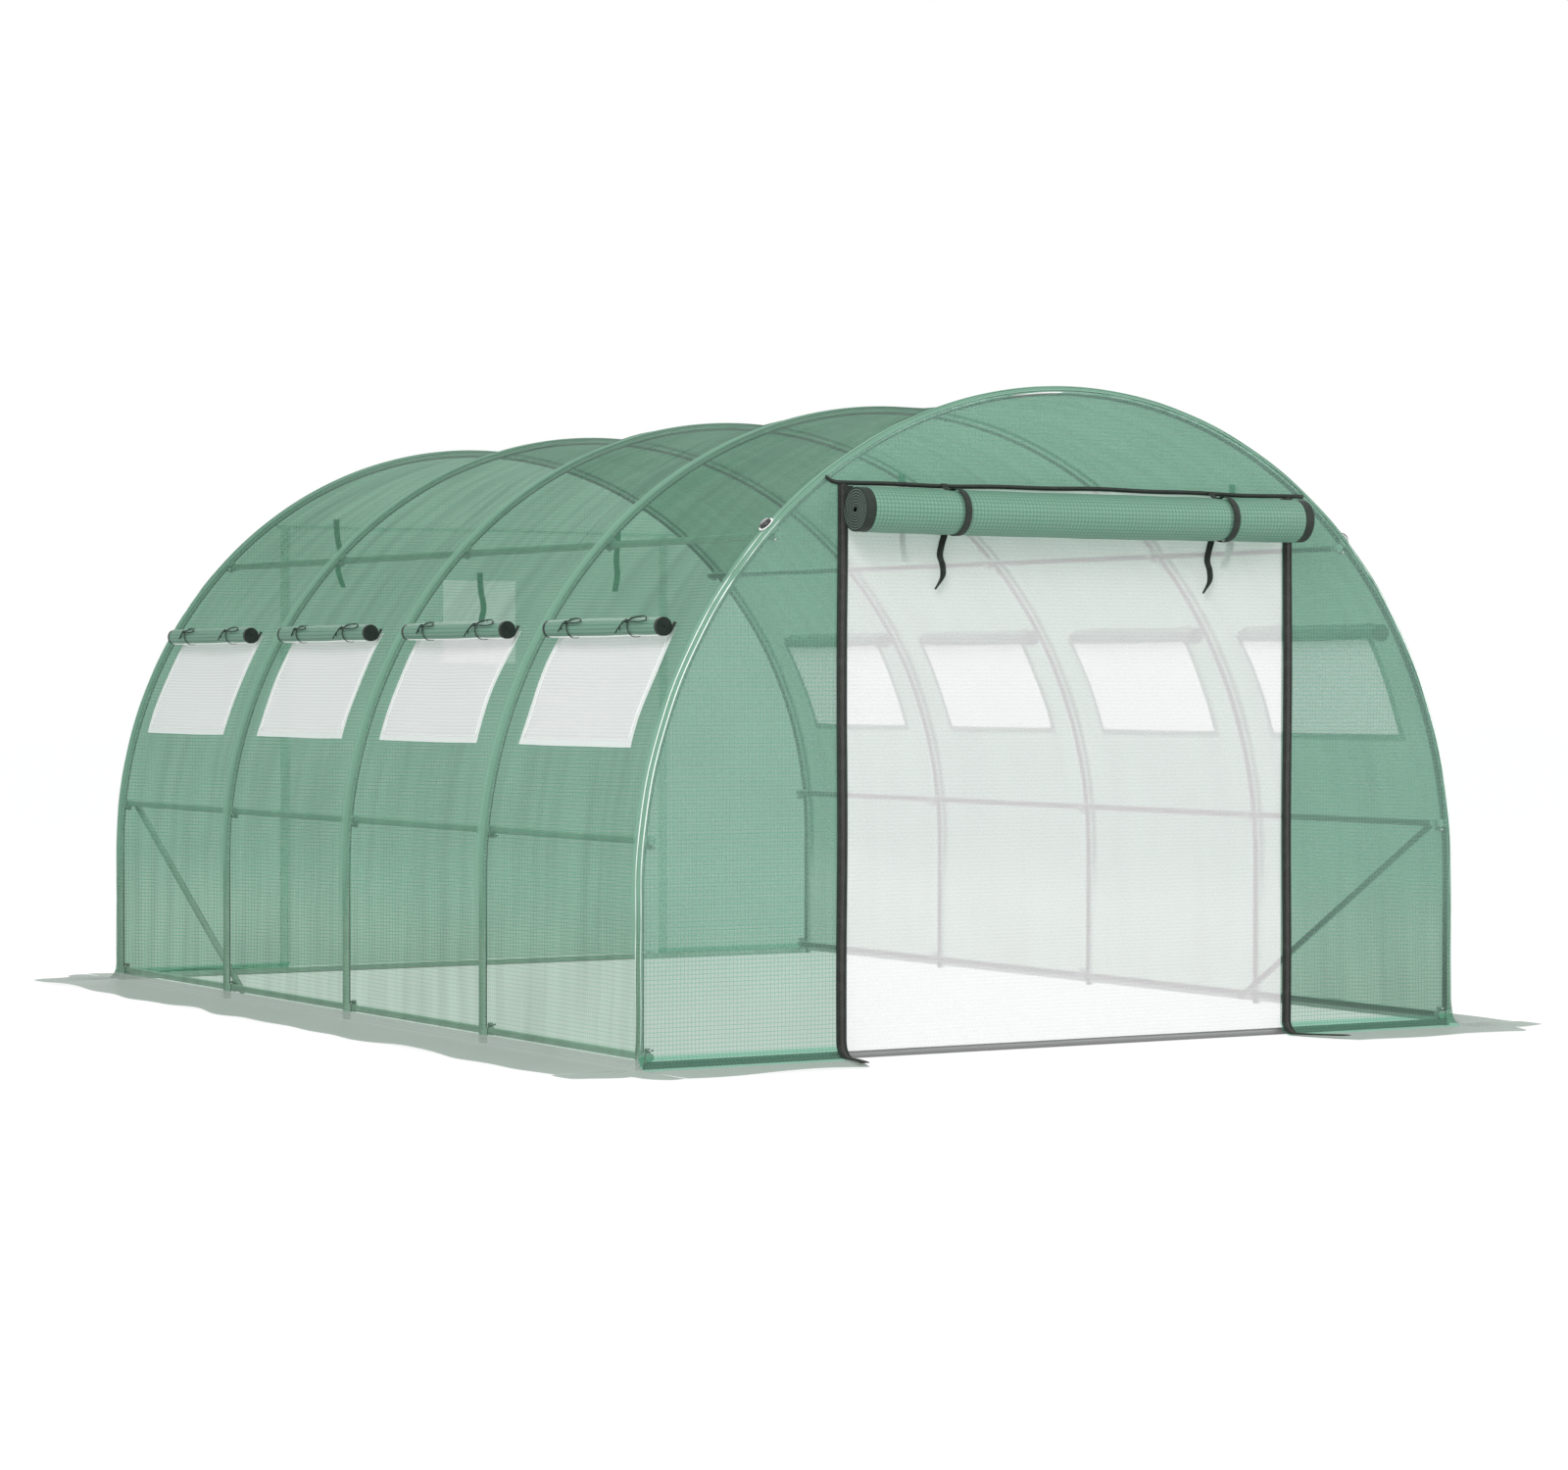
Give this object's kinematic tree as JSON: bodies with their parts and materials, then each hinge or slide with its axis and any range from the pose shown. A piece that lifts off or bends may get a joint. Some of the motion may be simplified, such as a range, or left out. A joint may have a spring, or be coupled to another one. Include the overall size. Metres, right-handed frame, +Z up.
{
  "type": "polytunnel greenhouse",
  "caption": "Walk-in polytunnel: steel hoops and rails under a green woven sheet with mesh windows, rolled-up flaps, a rolled-up front door, a closed rear door and ground skirts.",
  "frame": {"origin": "on the ground at the centre of the plan, skirts included", "axes": "+Z up, +Y along the tunnel from the front door to the rear, +X across to the right as seen from the front door"},
  "size_m": [3.5606, 4.5606, 2.0033],
  "materials": {
    "galvanised_tube": "dull galvanised",
    "cover_sheet": "translucent woven sheet with a satin coat",
    "skirt_sheet": "translucent woven sheet laid on the ground",
    "insect_mesh": "fine white mesh",
    "window_tape": "welded tape",
    "dark_binding": "woven tape and zip",
    "end_cap": "moulded",
    "cord_tie": "braided tie",
    "inner_tie": "woven tie tape"
  },
  "bodies": {
    "root": {"front_hoop": "galvanised_tube", "second_hoop": "galvanised_tube", "middle_hoop": "galvanised_tube", "fourth_hoop": "galvanised_tube", "rear_hoop": "galvanised_tube", "left_ground_rail": "galvanised_tube", "right_ground_rail": "galvanised_tube", "front_sill": "galvanised_tube", "rear_sill": "galvanised_tube", "left_mid_rail": "galvanised_tube", "right_mid_rail": "galvanised_tube", "left_upper_rail": "galvanised_tube", "right_upper_rail": "galvanised_tube", "corner_braces": "galvanised_tube", "rail_clamps": "galvanised_tube", "foot_clamps": "galvanised_tube", "left_lower_cover": "cover_sheet", "right_lower_cover": "cover_sheet", "left_window_band": "cover_sheet", "right_window_band": "cover_sheet", "roof_cover": "cover_sheet", "front_gable_left": "cover_sheet", "front_gable_right": "cover_sheet", "front_gable_top": "cover_sheet", "rear_gable_left": "cover_sheet", "rear_gable_right": "cover_sheet", "rear_gable_top": "cover_sheet", "rear_door": "cover_sheet", "rear_door_bindings": "cover_sheet", "left_window_rolls": "cover_sheet", "right_window_rolls": "cover_sheet", "door_roll": "cover_sheet", "side_skirts": "skirt_sheet", "gable_skirts": "skirt_sheet", "left_window_screens": "insect_mesh", "right_window_screens": "insect_mesh", "door_screen": "insect_mesh", "rear_window_screen": "insect_mesh", "left_window_trims": "window_tape", "right_window_trims": "window_tape", "front_door_bindings": "dark_binding", "door_straps": "dark_binding", "rail_end_caps": "end_cap", "left_window_ties": "cord_tie", "right_window_ties": "cord_tie", "inner_ties": "inner_tie"}
  },
  "joints": []
}
